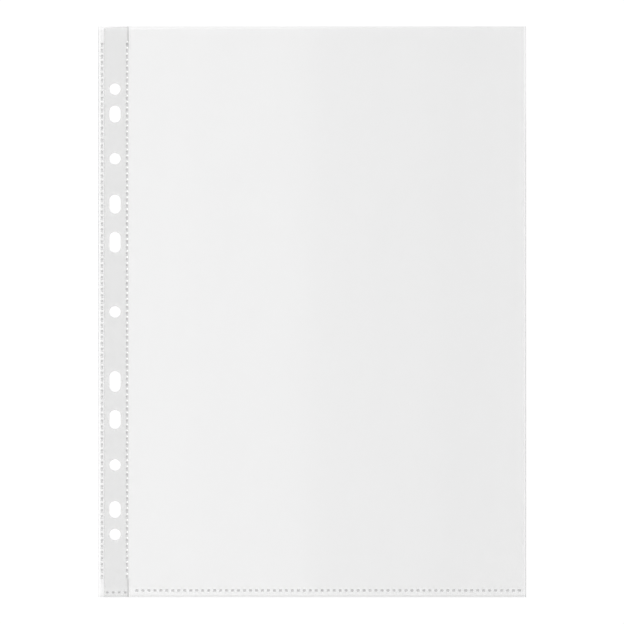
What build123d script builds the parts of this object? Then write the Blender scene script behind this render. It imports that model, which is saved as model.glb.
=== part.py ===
from build123d import *
import os

# A punched sheet protector lying flat: X runs from the binding edge to the folded edge,
# Y up the page towards the open mouth, Z through the thickness. All sizes in millimetres.

# Film and strip stock
film_thickness = 0.13
strip_thickness = 0.24

# Outline of the welded pocket
pocket_width = 230.5
pocket_height = 307.5

# The front film stops short of the back film at the mouth, along a slightly slanted cut
mouth_step_at_binding = 1.7
mouth_step_at_fold = 0.4

# Reinforcing strip, laid between the two films in the binding margin
strip_inset = 3.1
strip_width = 13.15
strip_end_slant = 0.7

# Punched holes in one column: distance from the middle of the page, above and below
hole_inset = 9.0
hole_diameter = 6.0
round_hole_offsets = (82.5, 120.0)
slot_width = 6.0
slot_lengths = {37.5: 11.0, 58.0: 10.0, 106.5: 9.0}

# Stitched welds: rows of fused spots, pressed in from the front by a toothed wheel, so each is a
# plug in a window of the front film, dished below its face, and the back film stays smooth
weld_pitch = 3.22
spot_across = 1.4
spot_along = 1.7
spot_dish = 0.03
outer_weld_inset = 2.0
inner_weld_inset = 0.95
bottom_weld_inset = 3.6
strip_foot_inset = 2.5
side_weld_top_clear = 9.4
side_weld_bottom_clear = 11.4
row_end_clear = 1.6
bottom_row_start_clear = 2.55

# Creases: the binding margin bends beside the strip, the front film above the bottom weld
crease_offset = 0.7
crease_half_gap = 0.35
hem_height = 5.4
hem_gap = 0.2

# Folded edge opposite the binding
fold_width = 1.0
fold_gap = 0.2

# Places worked out from the sizes above
stack = 2 * film_thickness + strip_thickness
left = -pocket_width / 2
right = pocket_width / 2
bottom = -pocket_height / 2
top = pocket_height / 2
front_face = stack - film_thickness
strip_left = left + strip_inset
strip_right = strip_left + strip_width
crease_x = strip_right + crease_offset
margin_right = crease_x - crease_half_gap
leaf_left = crease_x + crease_half_gap
fold_left = right - fold_width
hem_top = bottom + hem_height
hole_x = left + hole_inset


def mouth_edge(x):
    """Height of the front film's cut edge at x, on the slanted line of the mouth."""
    along = (x - left) / pocket_width
    return top - mouth_step_at_binding + along * (mouth_step_at_binding - mouth_step_at_fold)


def row(start, end):
    """Centres of as many spots as fit between two ends at the weld pitch, centred there."""
    count = int((end - start) / weld_pitch) + 1
    middle = (start + end) / 2
    return [middle + (n - (count - 1) / 2) * weld_pitch for n in range(count)]


def sheet(corners, cuts, z, thickness):
    """A flat layer cut to straight-sided corners, with its windows and holes punched out."""
    outline = make_face(Polyline(*corners, close=True))
    if cuts:
        outline = outline - cuts
    return extrude(Pos(0, 0, z) * outline, thickness, dir=(0, 0, 1))


def windows(places, width, height):
    return [Pos(x, y) * Rectangle(width, height) for x, y in places]


def spots(places, width, height, base):
    """One fused plug at each place, from the layer it is fused to up to the dish in the front film."""
    depth = stack - spot_dish - base
    plug = Box(width, height, depth, align=(Align.CENTER, Align.CENTER, Align.MIN))
    return Compound([Pos(x, y, base) * plug for x, y in places])


def ring_holes():
    """Round holes and oblong slots on the hole line, mirrored about the middle of the page."""
    holes = [Pos(hole_x, 0) * Circle(hole_diameter / 2)]
    for offset in round_hole_offsets:
        for y in (-offset, offset):
            holes.append(Pos(hole_x, y) * Circle(hole_diameter / 2))
    for offset, length in slot_lengths.items():
        slot = SlotOverall(length, slot_width, rotation=90)
        for y in (-offset, offset):
            holes.append(Pos(hole_x, y) * slot)
    return holes


# Places of the weld spots
side_row = row(bottom + side_weld_bottom_clear, top - side_weld_top_clear)
outer_places = [(left + outer_weld_inset, y) for y in side_row]
inner_places = [(strip_right - inner_weld_inset, y) for y in side_row]
bottom_row = row(leaf_left + bottom_row_start_clear, fold_left - row_end_clear)
bottom_places = [(x, bottom + bottom_weld_inset) for x in bottom_row]
foot_row = row(strip_left + row_end_clear, strip_right - row_end_clear)
foot_places = [(x, bottom + strip_foot_inset) for x in foot_row]

# What is cut out of the layers: spots of the side welds run up the page, the others across it
holes = ring_holes()
side_windows = windows(outer_places + inner_places, spot_across, spot_along)
foot_windows = windows(foot_places, spot_along, spot_across)
bottom_windows = windows(bottom_places, spot_along, spot_across)

# Binding margin: back film, strip and front film
back_margin = sheet(
    [(left, bottom), (margin_right, bottom), (margin_right, top), (left, top)],
    holes,
    0,
    film_thickness,
)
punch_strip = sheet(
    [
        (strip_left, bottom),
        (strip_right, bottom),
        (strip_right, top),
        (strip_left, top - strip_end_slant),
    ],
    holes,
    film_thickness,
    strip_thickness,
)
front_margin = sheet(
    [
        (left, bottom),
        (margin_right, bottom),
        (margin_right, mouth_edge(margin_right)),
        (left, mouth_edge(left)),
    ],
    holes + side_windows + foot_windows,
    front_face,
    film_thickness,
)

# Pocket: back sheet, the front film's welded hem and the front sheet that opens above it
back_sheet = sheet(
    [(leaf_left, bottom), (fold_left, bottom), (fold_left, top), (leaf_left, top)],
    [],
    0,
    film_thickness,
)
front_hem = sheet(
    [(leaf_left, bottom), (fold_left, bottom), (fold_left, hem_top), (leaf_left, hem_top)],
    bottom_windows,
    front_face,
    film_thickness,
)
front_right = fold_left - fold_gap
front_bottom = hem_top + hem_gap
front_sheet = sheet(
    [
        (leaf_left, front_bottom),
        (front_right, front_bottom),
        (front_right, mouth_edge(front_right)),
        (leaf_left, mouth_edge(leaf_left)),
    ],
    [],
    front_face,
    film_thickness,
)

# Folded edge: the film turns over a half round as thick as the stack
bend_x = right - stack / 2
fold_profile = make_face(
    [
        Line((fold_left, 0), (bend_x, 0)),
        ThreePointArc((bend_x, 0), (right, stack / 2), (bend_x, stack)),
        Line((bend_x, stack), (fold_left, stack)),
        Line((fold_left, stack), (fold_left, front_face)),
        Line((fold_left, front_face), (bend_x, front_face)),
        ThreePointArc(
            (bend_x, front_face),
            (right - film_thickness, stack / 2),
            (bend_x, film_thickness),
        ),
        Line((bend_x, film_thickness), (fold_left, film_thickness)),
        Line((fold_left, film_thickness), (fold_left, 0)),
    ]
)
side_fold = extrude(Plane.XZ.offset(bottom) * fold_profile, pocket_height)

# Welds: film to film outside the strip and along the bottom, film to strip on the strip
outer_weld = spots(outer_places, spot_across, spot_along, film_thickness)
inner_weld = spots(inner_places, spot_across, spot_along, front_face)
bottom_weld = spots(bottom_places, spot_along, spot_across, film_thickness)
strip_foot_weld = spots(foot_places, spot_along, spot_across, front_face)

pieces = {
    "back_margin": back_margin,
    "punch_strip": punch_strip,
    "front_margin": front_margin,
    "back_sheet": back_sheet,
    "front_hem": front_hem,
    "front_sheet": front_sheet,
    "side_fold": side_fold,
    "outer_weld": outer_weld,
    "inner_weld": inner_weld,
    "bottom_weld": bottom_weld,
    "strip_foot_weld": strip_foot_weld,
}

os.makedirs("parts", exist_ok=True)
for name, piece in pieces.items():
    export_step(piece, f"parts/{name}.step")
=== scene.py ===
import math

import bmesh
import bpy
from mathutils import Matrix, Vector, noise


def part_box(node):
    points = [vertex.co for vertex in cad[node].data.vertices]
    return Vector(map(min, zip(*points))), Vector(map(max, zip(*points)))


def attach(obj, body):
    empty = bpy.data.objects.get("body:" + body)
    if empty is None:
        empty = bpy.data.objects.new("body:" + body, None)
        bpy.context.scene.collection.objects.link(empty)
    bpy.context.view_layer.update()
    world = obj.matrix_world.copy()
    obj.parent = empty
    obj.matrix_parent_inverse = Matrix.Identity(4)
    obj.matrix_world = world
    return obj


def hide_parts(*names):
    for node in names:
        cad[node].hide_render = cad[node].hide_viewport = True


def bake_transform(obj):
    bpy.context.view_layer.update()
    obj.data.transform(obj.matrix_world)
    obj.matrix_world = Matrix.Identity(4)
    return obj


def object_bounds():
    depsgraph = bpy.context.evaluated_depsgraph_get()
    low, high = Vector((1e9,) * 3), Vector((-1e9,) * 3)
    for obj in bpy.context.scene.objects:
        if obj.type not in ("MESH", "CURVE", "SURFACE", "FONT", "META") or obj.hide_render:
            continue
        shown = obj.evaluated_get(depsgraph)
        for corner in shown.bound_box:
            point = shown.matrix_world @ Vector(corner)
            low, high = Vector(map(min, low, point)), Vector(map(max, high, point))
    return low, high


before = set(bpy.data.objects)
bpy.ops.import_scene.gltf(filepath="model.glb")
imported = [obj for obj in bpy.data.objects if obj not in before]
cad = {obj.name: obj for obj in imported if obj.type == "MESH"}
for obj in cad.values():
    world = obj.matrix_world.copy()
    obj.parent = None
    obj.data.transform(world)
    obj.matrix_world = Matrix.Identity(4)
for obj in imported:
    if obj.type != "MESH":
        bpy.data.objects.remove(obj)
cad_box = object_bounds()
mm = 0.001


# Back film. The pocket is one web of clear polypropylene, cast with a fine embossed grain and folded in half.
# Its back half lies flat on the table. Heat has drawn the film into small ridges along the welded edges,
# one between each pair of weld spots.
back_low, back_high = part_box("back_sheet")
film = back_high.z - back_low.z
weld_pitch = 3.22 * mm
spot_along = 1.7 * mm
spot_across = 1.4 * mm
side_weld_low, side_weld_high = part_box("inner_weld")
foot_weld_low, foot_weld_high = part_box("bottom_weld")
side_weld_x = (side_weld_low.x + side_weld_high.x) / 2
foot_weld_y = (foot_weld_low.y + foot_weld_high.y) / 2
ridge_reach = 1.6 * mm
billow_margin = 40 * mm
billow_length = 70 * mm
film_cell = 2 * weld_pitch
fine_cuts = 7


class Shade:
    """One output of a material's nodes. Arithmetic on shades adds Math nodes."""

    def __init__(self, tree, output=None):
        self.tree, self.output = tree, output

    def node(self, kind, settings, sockets, output=0):
        """A new node of the same material: its settings first, then its sockets' values or links."""
        made = self.tree.nodes.new(kind)
        for name, value in settings.items():
            setattr(made, name, value)
        for name, value in sockets.items():
            if isinstance(value, Shade):
                self.tree.links.new(value.output, made.inputs[name])
            else:
                made.inputs[name].default_value = value
        return Shade(self.tree, made.outputs[output])

    def math(self, operation, *values):
        return self.node("ShaderNodeMath", {"operation": operation}, dict(enumerate(values)))

    def __add__(self, other):
        return self.math("ADD", self, other)

    def __radd__(self, other):
        return self.math("ADD", other, self)

    def __sub__(self, other):
        return self.math("SUBTRACT", self, other)

    def __rsub__(self, other):
        return self.math("SUBTRACT", other, self)

    def __mul__(self, other):
        return self.math("MULTIPLY", self, other)

    def __rmul__(self, other):
        return self.math("MULTIPLY", other, self)

    def __truediv__(self, other):
        return self.math("DIVIDE", self, other)

    def rise(self, start, end):
        """0 before start and 1 after end, smooth between them; start may be the larger."""
        sockets = {"Value": self, "From Min": start, "From Max": end, "To Min": 0.0, "To Max": 1.0}
        return self.node("ShaderNodeMapRange", {"interpolation_type": "SMOOTHSTEP"}, sockets)

    def axis(self, name):
        """The X, Y or Z of a place."""
        return self.node("ShaderNodeSeparateXYZ", {}, {"Vector": self}, name)

    def speckle(self, scale, detail):
        """Noise over a place, between 0 and 1."""
        return self.node("ShaderNodeTexNoise", {}, {"Vector": self, "Scale": scale, "Detail": detail}, "Fac")

    def streaks(self, scale, detail):
        """Noise along one axis, between 0 and 1, as lines across it."""
        sockets = {"W": self, "Scale": scale, "Detail": detail}
        return self.node("ShaderNodeTexNoise", {"noise_dimensions": "1D"}, sockets, "Fac")


def finish(name):
    """A new material, its shader, and the place on the object in millimetres."""
    material = bpy.data.materials.new(name)
    material.use_nodes = True
    tree = material.node_tree
    coordinates = Shade(tree).node("ShaderNodeTexCoord", {}, {}, "Object")
    scaled = {"Vector": coordinates, "Scale": 1 / mm}
    place = coordinates.node("ShaderNodeVectorMath", {"operation": "SCALE"}, scaled)
    return material, tree.nodes["Principled BSDF"], place


def set_sockets(shader, **values):
    """Sets or links a Principled shader's sockets, named with underscores for spaces."""
    for name, value in values.items():
        socket = shader.inputs[name.replace("_", " ")]
        if isinstance(value, Shade):
            value.tree.links.new(value.output, socket)
        else:
            socket.default_value = value


def past_side_welds(y):
    """1 near the top and the bottom, where the side welds end and the strip's edge lies loose."""
    return y.rise(141.5, 143.0) + y.rise(-143.0, -144.5)


clear_film, shader, place = finish("clear_film")
x, y = place.axis("X"), place.axis("Y")
film_haze = 0.0482
# Edge haze is painted shade: the extra haze that darkens the cut edges, the fold and the strip's loose ends.
painted_edge_shade = 0.08
film_roughness = 0.25
grain = place.speckle(1.3, 1.0)
die_lines = x.streaks(0.02, 2.0)

# Where the film looks clearer: over the strip and in the hem. Just inside the left cut and the fold the
# clearer line is a painted highlight beside the painted shade of those edges.
over_strip = x.rise(-98.2, -98.7) - 0.8 * x.rise(-112.0, -112.3)
in_hem = y.rise(-147.8, -148.8)
left_cut = x.rise(-114.75, -114.95)
painted_cut_highlight = x.rise(-114.2, -114.4) - left_cut
turn = x.rise(114.65, 114.8)
painted_fold_highlight = x.rise(114.1, 114.25) - turn
haze_and_painted_edges = film_haze + 0.012 * (die_lines - 0.5) + 0.015 * (grain - 0.5)
haze_and_painted_edges = haze_and_painted_edges * (1 - 0.3 * over_strip - 0.1 * in_hem - 0.9 * painted_cut_highlight - 0.8 * painted_fold_highlight)

# Where it looks darker: at its cut edges and the fold, and beside the strip's loose ends. These dark lines
# are painted shade.
bottom_cut = y.rise(-152.6, -152.9)
top_cut = y.rise(153.2, 153.4)
left_fade = 1 - 0.8 * y.rise(30.0, -95.0)
turn_fade = 1 - 0.8 * y.rise(85.0, 125.0)
painted_loose_edge_shade = (x.rise(-99.15, -99.05) - x.rise(-98.75, -98.65)) * past_side_welds(y)
painted_cut_shade = left_cut * left_fade + 0.4 * bottom_cut + 0.6 * top_cut
# The painted shade of the edges is added to the film's own haze.
haze_and_painted_edges = haze_and_painted_edges + painted_edge_shade * painted_cut_shade + painted_edge_shade * turn * turn_fade + painted_edge_shade * painted_loose_edge_shade

facing = place.node("ShaderNodeLayerWeight", {}, {"Blend": 0.5}, "Facing")
bump = place.node("ShaderNodeBump", {}, {"Height": grain, "Strength": 0.12, "Distance": 0.0004}, "Normal")
set_sockets(
    shader,
    Base_Color=(0.55, 0.55, 0.55, 1.0),
    Roughness=film_roughness,
    IOR=1.49,
    Alpha=haze_and_painted_edges / (1.05 - facing),
    Normal=bump,
)
sheen = place.node(
    "ShaderNodeBsdfGlossy",
    {},
    {"Color": (1.0, 1.0, 1.0, 1.0), "Roughness": film_roughness, "Normal": bump},
)
mirrored = 0.04 + 0.9 * facing.math("POWER", facing, 5.0)
hazy = Shade(place.tree, shader.outputs[0])
gloss = place.node("ShaderNodeMixShader", {}, {0: mirrored, 1: hazy, 2: sheen})
place.tree.links.new(gloss.output, place.tree.nodes["Material Output"].inputs["Surface"])


def ridges(point):
    """How far the film stands up beside the welds: most between two spots, less away from the row."""
    up_row = (point.y - side_weld_low.y - spot_along / 2) / weld_pitch
    along_row = (point.x - foot_weld_low.x - spot_along / 2) / weld_pitch
    within = -0.5 < up_row < (side_weld_high.y - side_weld_low.y) / weld_pitch
    side = (0.5 - 0.5 * math.cos(2 * math.pi * up_row)) if within else 0
    foot = 0.5 - 0.5 * math.cos(2 * math.pi * along_row)
    side *= math.exp(-abs(point.x - side_weld_x) / ridge_reach)
    foot *= math.exp(-abs(point.y - foot_weld_y) / ridge_reach)
    return max(side, foot)


def film_grid(x_span, y_span, base, x_cells):
    """A flat grid over these spans, with a given number of cells across."""
    width, height = x_span[1] - x_span[0], y_span[1] - y_span[0]
    middle = Vector((sum(x_span) / 2, sum(y_span) / 2, base))
    bm = bmesh.new()
    bmesh.ops.create_grid(
        bm,
        x_segments=x_cells,
        y_segments=max(1, round(height / film_cell)),
        size=0.5,
        matrix=Matrix.Translation(middle) @ Matrix.Diagonal((width, height, 1, 1)),
    )
    return bm


def trim(bm, y_span, top_edge):
    """Draws a grid in to a top edge that is given as a height for each x."""
    low, high = y_span
    for v in bm.verts:
        v.co.y = low + (v.co.y - low) * (top_edge(v.co.x) - low) / (high - low)


def thicken(bm):
    """Gives a sheet the film's thickness, closed all round."""
    top = bmesh.ops.extrude_face_region(bm, geom=bm.faces[:], use_keep_orig=True)["geom"]
    bmesh.ops.translate(bm, vec=(0, 0, film), verts=[g for g in top if isinstance(g, bmesh.types.BMVert)])
    bmesh.ops.recalc_face_normals(bm, faces=bm.faces[:])


def as_piece(name, bm, *materials):
    """A new object of this mesh and its materials, smooth over its faces and crisp at its edges."""
    mesh = bpy.data.meshes.new(name)
    bm.to_mesh(mesh)
    bm.free()
    mesh.shade_smooth()
    mesh.set_sharp_from_angle(angle=math.radians(50))
    for material in materials:
        mesh.materials.append(material)
    piece = bpy.data.objects.new(name, mesh)
    bpy.context.scene.collection.objects.link(piece)
    return piece


def film_panel(name, x_span, y_span, base, ridge, billow, top_edge=None):
    """A closed sheet of film on a grid that is finer beside the welds, with its ridges and billows."""
    bm = film_grid(x_span, y_span, base, x_cells=max(1, round((x_span[1] - x_span[0]) / film_cell)))
    fine_x, fine_y = side_weld_x + 2 * film_cell, foot_weld_y + film_cell
    near = [e for e in bm.edges if all(v.co.x < fine_x or v.co.y < fine_y for v in e.verts)]
    bmesh.ops.subdivide_edges(bm, edges=near, cuts=fine_cuts, use_grid_fill=True)
    if top_edge:
        trim(bm, y_span, top_edge)
    for v in bm.verts:
        sides = min(v.co.x - back_low.x, back_high.x - v.co.x, v.co.y - foot_weld_y)
        free = min(1, max(0, sides / billow_margin))
        slow = 0.5 + 0.5 * noise.noise(v.co / billow_length)
        v.co.z += ridge * ridges(v.co) + billow * free * slow
    thicken(bm)
    return as_piece(name, bm, clear_film)


back_film = film_panel(
    "back_film",
    (back_low.x, back_high.x),
    (back_low.y, back_high.y),
    base=back_low.z,
    ridge=0.06 * mm,
    billow=0.05 * mm,
)
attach(back_film, "pocket")
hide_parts("back_sheet")


# Folded edge. The web turns over from back to front along the right side, in a tight bead that looks darker
# than the film beside it because the eye looks along the film there. That dark line is painted shade in the
# clear film's haze, with a painted highlight just inside it. It keeps the CAD shape.
cad["side_fold"].material_slots[0].material = clear_film


# Reinforcing strip. A band of milky polypropylene, extruded and cut to length, lies loose between the two
# films until the welds at its edges and foot hold it. The ring holes are punched through all three layers.
strip_low, strip_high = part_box("punch_strip")
strip_share = 0.88


def grey(level):
    """A neutral colour from one value."""
    return level.node("ShaderNodeCombineColor", {}, {"Red": level, "Green": level, "Blue": level})


milky_strip, shader, place = finish("milky_strip")
x, y = place.axis("X"), place.axis("Y")
draw_lines = x.streaks(0.9, 2.0)
# The strip's edges are darkened as painted shade: the outer one all along, the inner one where it lies loose.
painted_inner_edge_shade = x.rise(-99.85, -99.6) * past_side_welds(y)
painted_outer_edge_shade = x.rise(-111.3, -111.8)
milk_and_edge_shade = 0.97 + 0.03 * (draw_lines - 0.5) - 0.18 * painted_outer_edge_shade - 0.45 * painted_inner_edge_shade
set_sockets(shader, Base_Color=grey(milk_and_edge_shade), Roughness=0.45, Alpha=0.25)

bm = bmesh.new()
bm.from_mesh(cad["punch_strip"].data)
bmesh.ops.remove_doubles(bm, verts=bm.verts[:], dist=0.001 * mm)
bmesh.ops.dissolve_limit(bm, angle_limit=math.radians(1), verts=bm.verts[:], edges=bm.edges[:])
strip_middle = Matrix.Translation(-(strip_low + strip_high) / 2)
bmesh.ops.scale(bm, vec=(1, 1, strip_share), space=strip_middle, verts=bm.verts[:])
strip = as_piece("strip", bm, milky_strip)
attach(strip, "margin")
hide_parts("punch_strip")


# Punched margin. The web's own film covers the strip on both faces. It is held flat there, so it keeps the
# CAD shape, with the ring holes and the windows of the weld spots.
cad["back_margin"].material_slots[0].material = clear_film
cad["front_margin"].material_slots[0].material = clear_film


# Front film. The web's front half is welded down along the hem and its left side, and is free at the mouth,
# where it is cut a little short of the back film on a slight slant. It is made as two halves that meet at the
# middle.
hem_low, hem_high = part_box("front_hem")
front_low, front_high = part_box("front_sheet")
margin_low, margin_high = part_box("front_margin")
mouth_step_left = 1.7 * mm
mouth_step_right = 0.4 * mm
front_ridge = 0.16 * mm


def mouth_edge(x):
    """Height of the front film's slanted cut at x."""
    along = (x - margin_low.x) / (cad_box[1].x - margin_low.x)
    return back_high.y - mouth_step_left + along * (mouth_step_left - mouth_step_right)


hem = film_panel(
    "hem",
    (hem_low.x, hem_high.x),
    (hem_low.y, hem_high.y),
    base=hem_low.z,
    ridge=front_ridge,
    billow=0,
)
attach(hem, "pocket")
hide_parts("front_hem")

front_middle = (back_low.x + back_high.x) / 2
for side, edge in (("left", back_low.x), ("right", back_high.x)):
    half = film_panel(
        "front_film_" + side,
        (min(edge, front_middle), max(edge, front_middle)),
        (hem_high.y, front_high.y),
        base=front_low.z,
        ridge=front_ridge,
        billow=0.5 * mm,
        top_edge=mouth_edge,
    )
    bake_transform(half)
    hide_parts("front_sheet")


# Crease. Beside the strip both films run on from the margin to the pocket as a living hinge, which bends when
# the page is turned in the binder.
crease_cells = 8
crease_left, crease_right = margin_high.x, back_low.x
page_span = (back_low.y, back_high.y)
for name, base, top_edge in (
    ("back_crease", back_low.z, None),
    ("front_crease", front_low.z, mouth_edge),
):
    bm = film_grid((crease_left, crease_right), page_span, base, crease_cells)
    if top_edge:
        trim(bm, page_span, top_edge)
    thicken(bm)
    crease = as_piece(name, bm, clear_film)
    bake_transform(crease)


# Welds. A heated toothed wheel fuses the films in rows of spots: outside the strip, through the strip's inner
# edge, across its foot and along the bottom. Each spot is a small dished pad with a raised rim of melt, its
# dent grey with painted shade. Side rows have a thin grey tongue below each pad that carries the same painted
# shade, and the inner one a bright lip above it whose pale metallic top is a painted glint.
clearance = 0.015 * mm
pad_corner = 0.3 * mm
lip_corner = 0.15 * mm
lip_thickness = 2 * clearance
rim_height = 0.04 * mm
rim_drop = 0.04 * mm
dish = 0.06 * mm
dent_top = foot_weld_high.z - clearance + rim_height - rim_drop

# Fused film, grey and more opaque the deeper the dent: painted shade of the dents, darkest in the core.
fused_and_shaded_film, shader, place = finish("fused_and_shaded_film")
painted_dent_shade = place.axis("Z").rise(dent_top / mm, (dent_top - dish) / mm)
melt = place.speckle(2.5, 2.0)
set_sockets(
    shader,
    Base_Color=grey(0.46 + 0.08 * (melt - 0.5)),
    Roughness=0.2 + 0.2 * melt,
    Alpha=0.22 + 0.185 * painted_dent_shade,
)
# The bright lip above each inner spot is a painted glint: a pale, mostly metallic top that mirrors the white
# room.
painted_glint_film, shader, place = finish("painted_glint_film")
glint_speckle = place.speckle(6.0, 2.0)
set_sockets(
    shader,
    Base_Color=grey(0.95 + 0.06 * (glint_speckle - 0.5)),
    Metallic=0.85,
    Roughness=0.15 + 0.2 * glint_speckle,
    Alpha=0.95,
)
weld_films = [clear_film, fused_and_shaded_film, painted_glint_film]


def rounded_block(bm, middle, size, corner, top_film):
    """Adds a block of clear film with rounded upright edges and a top face of another film."""
    place = Matrix.Translation(middle) @ Matrix.Diagonal((*size, 1))
    made = bmesh.ops.create_cube(bm, size=1, matrix=place)["verts"]
    faces = [f for f in bm.faces if all(v in made for v in f.verts)]
    top = max(faces, key=lambda f: f.calc_center_median().z)
    top.material_index = weld_films.index(top_film)
    edges = [e for e in bm.edges if all(v in made for v in e.verts)]
    upright = [e for e in edges if abs(e.verts[0].co.z - e.verts[1].co.z) > clearance]
    bmesh.ops.bevel(bm, geom=upright, offset=corner, segments=2, profile=0.5, affect="EDGES", material=-1)


def weld_row(name, node, body, along, dent_share, dent_shift, core_share, core_shift=(0, 0), lips=()):
    """Pads at the weld pitch from one end of the CAD row to the other, along x or y.

    The dent and the deeper core in it may lie off the pad's middle, as the wheel's teeth leave them. Each lip
    is given by its spans in x and y from the pad's middle and the film of its top.
    """
    low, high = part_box(node)
    size = Vector((spot_across, spot_along, high.z - low.z))
    if along == 0:
        size = size.yxz
    size -= Vector((2, 2, 2)) * clearance
    count = round((high[along] - low[along] - spot_along) / weld_pitch) + 1
    first = (low + high) / 2
    first[along] = low[along] + spot_along / 2
    bm = bmesh.new()
    rounded_block(bm, first, size, pad_corner, clear_film)
    dent = max(bm.faces, key=lambda f: f.calc_center_median().z)
    bmesh.ops.translate(bm, vec=(0, 0, rim_height), verts=dent.verts)

    def step_down(share, shift, drop):
        """Steps the dent in and down, to a share of its size, and gives the new sides."""
        sides = bmesh.ops.inset_region(bm, faces=[dent], thickness=clearance)["faces"]
        middle = Matrix.Translation(-dent.calc_center_bounds())
        bmesh.ops.scale(bm, vec=(*share, 1), space=middle, verts=dent.verts)
        bmesh.ops.translate(bm, vec=(*shift, -drop), verts=dent.verts)
        return sides

    step_down(dent_share, dent_shift, rim_drop)
    slopes = step_down(core_share, core_shift, dish)
    # The dent and its slopes take the fused film with its painted shade.
    for face in [dent, *slopes]:
        face.material_index = weld_films.index(fused_and_shaded_film)
    for x_span, y_span, lip_film in lips:
        middle = Vector((first.x + sum(x_span) / 2, first.y + sum(y_span) / 2, margin_high.z))
        lip_size = (x_span[1] - x_span[0], y_span[1] - y_span[0], lip_thickness)
        rounded_block(bm, middle, lip_size, lip_corner, lip_film)
    pad = bm.faces[:] + bm.edges[:] + bm.verts[:]
    for n in range(1, count):
        copy = bmesh.ops.duplicate(bm, geom=pad)["geom"]
        step = Vector((0, 0, 0))
        step[along] = n * weld_pitch
        bmesh.ops.translate(bm, vec=step, verts=[g for g in copy if isinstance(g, bmesh.types.BMVert)])
    row = as_piece(name, bm, *weld_films)
    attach(row, body)
    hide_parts(node)


pad_side = spot_across / 2
pad_end = spot_along / 2
outer_tongue = 0.7 * mm
inner_tongue = 0.5 * mm
glint = 0.6 * mm
weld_row(
    "outer_weld_pads",
    "outer_weld",
    "margin",
    1,
    dent_share=(0.96, 0.84),
    dent_shift=(-0.01 * mm, -0.1 * mm),
    core_share=(0.8, 0.63),
    core_shift=(0, 0.21 * mm),
    lips=[((-pad_side, pad_side), (-pad_end - outer_tongue, -pad_end), fused_and_shaded_film)],
)
weld_row(
    "inner_weld_pads",
    "inner_weld",
    "margin",
    1,
    dent_share=(0.76, 0.8),
    dent_shift=(0.1 * mm, -0.12 * mm),
    core_share=(0.8, 0.45),
    core_shift=(0.05 * mm, 0.32 * mm),
    lips=[
        ((-0.45 * mm, 0.5 * mm), (-pad_end - inner_tongue, -pad_end), fused_and_shaded_film),
        ((0.1 * mm, pad_side), (pad_end, pad_end + glint), painted_glint_film),
    ],
)
weld_row(
    "bottom_weld_pads",
    "bottom_weld",
    "pocket",
    0,
    dent_share=(0.97, 0.95),
    dent_shift=(0, 0.07 * mm),
    core_share=(0.85, 0.85),
)
weld_row(
    "foot_weld_pads",
    "strip_foot_weld",
    "margin",
    0,
    dent_share=(0.85, 0.85),
    dent_shift=(0, 0.1 * mm),
    core_share=(0.85, 0.85),
)


# Table. A plain white top with the pocket's own shadow on it. It glows a little, more at a distance, but only
# to rays that come from the camera straight, mirrored or through film, so that it reads as pure white there.
table_half = 6
table_drop = 0.05 * mm


def seen_rays(tree):
    """1 for rays that show a surface to the camera, 0 for those that only light another one."""
    straight = Shade(tree).node("ShaderNodeLightPath", {}, {}, "Is Camera Ray")
    rays = straight.output.node.outputs
    mirrored = Shade(tree, rays["Is Glossy Ray"])
    through = Shade(tree, rays["Is Transmission Ray"])
    return straight.math("MAXIMUM", straight, straight.math("MAXIMUM", mirrored, through))


white_table, shader, place = finish("white_table")
distance = place.node("ShaderNodeVectorMath", {"operation": "LENGTH"}, {"Vector": place}, "Value")
far = distance.rise(300.0, 1500.0)
set_sockets(
    shader,
    Base_Color=(0.80, 0.80, 0.80, 1.0),
    Roughness=0.9,
    Specular_IOR_Level=0.0,
    Emission_Color=grey(seen_rays(white_table.node_tree) * (0.36 + 0.3 * far)),
    Emission_Strength=1.0,
)
bm = bmesh.new()
table_place = Matrix.Translation((0, 0, -table_drop))
bmesh.ops.create_grid(bm, x_segments=1, y_segments=1, size=table_half, matrix=table_place)
table = as_piece("table", bm, white_table)


# Studio light: an even white room, a wide softbox overhead that the left half of the film mirrors, and a soft
# lamp from the left, so that the tone falls off gently to the right.
world = bpy.data.worlds.new("white_room")
bpy.context.scene.world = world
world.use_nodes = True
room = world.node_tree.nodes["Background"]
room_light = 0.70
room_strength = room_light + (1 - room_light) * seen_rays(world.node_tree)
world.node_tree.links.new(room_strength.output, room.inputs["Strength"])
room.inputs["Color"].default_value = (1, 1, 1, 1)

for name, width, length, power, spot, aim in (
    ("overhead_softbox", 1.5, 2.2, 4.4, (-0.75, 0, 1.5), (-0.75, 0, 0)),
    ("left_soft_lamp", 2.4, 1.2, 3.0, (-1.1, 0.1, 1.2), (0, 0, 0)),
):
    lamp_data = bpy.data.lights.new(name, "AREA")
    lamp_data.shape = "RECTANGLE"
    lamp_data.size, lamp_data.size_y, lamp_data.energy = width, length, power
    lamp = bpy.data.objects.new(name, lamp_data)
    bpy.context.scene.collection.objects.link(lamp)
    lamp.location = spot
    lamp.rotation_euler = (Vector(aim) - Vector(spot)).to_track_quat("-Z", "Y").to_euler()


# Camera, straight above the pocket as in the photograph. Light passes through many layers of film at a slant,
# so it may cross more see-through faces than usual.
frame_width = 336.3 * mm
frame_shift = -0.1 * mm
camera_data = bpy.data.cameras.new("camera")
camera_data.lens = 100
camera_data.sensor_width = 36
camera = bpy.data.objects.new("camera", camera_data)
bpy.context.scene.collection.objects.link(camera)
camera_height = frame_width * camera_data.lens / camera_data.sensor_width
camera.location = (frame_shift, frame_shift, camera_height)
bpy.context.scene.camera = camera
bpy.context.scene.view_settings.view_transform = "Standard"
bpy.context.scene.cycles.transparent_max_bounces = 32
